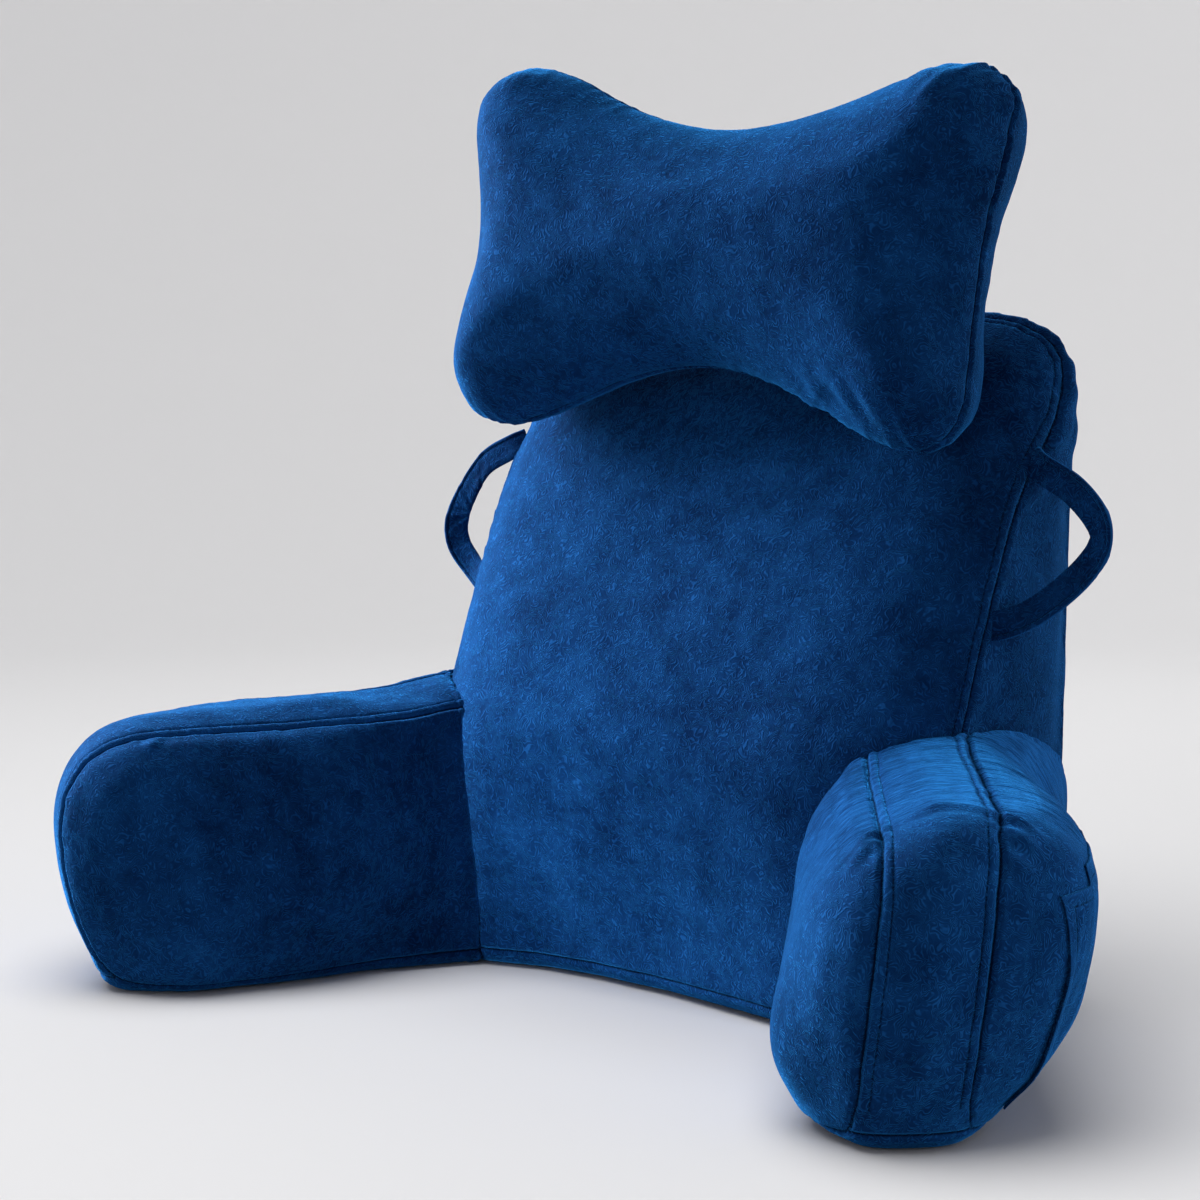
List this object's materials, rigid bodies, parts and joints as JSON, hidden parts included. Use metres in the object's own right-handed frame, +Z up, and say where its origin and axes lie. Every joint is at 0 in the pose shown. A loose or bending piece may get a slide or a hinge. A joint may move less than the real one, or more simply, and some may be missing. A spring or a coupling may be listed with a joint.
{
  "type": "reading pillow with arms",
  "caption": "Filled back cushion with two splayed arm cushions, a bow-tie neck pillow resting against its top, side handle loops and a patch pocket on one arm.",
  "frame": {"origin": "on the floor plane, on the flat underside of the back cushion", "axes": "+Z up, +X to the right as seen from the front, -Y towards the sitter's side, the front"},
  "size_m": [0.9002, 0.4979, 0.7117],
  "materials": {
    "back_cushion": "blue short-pile velvet",
    "arm_left": "blue short-pile velvet",
    "arm_right": "blue short-pile velvet",
    "neck_pillow": "blue short-pile velvet",
    "handle_left": "blue short-pile velvet, folded and stitched",
    "handle_right": "blue short-pile velvet, folded and stitched",
    "pocket": "blue short-pile velvet"
  },
  "bodies": {
    "root": {"back_cushion": "back_cushion", "arm_left": "arm_left", "arm_right": "arm_right", "neck_pillow": "neck_pillow", "handle_left": "handle_left", "handle_right": "handle_right", "pocket": "pocket"}
  },
  "joints": []
}
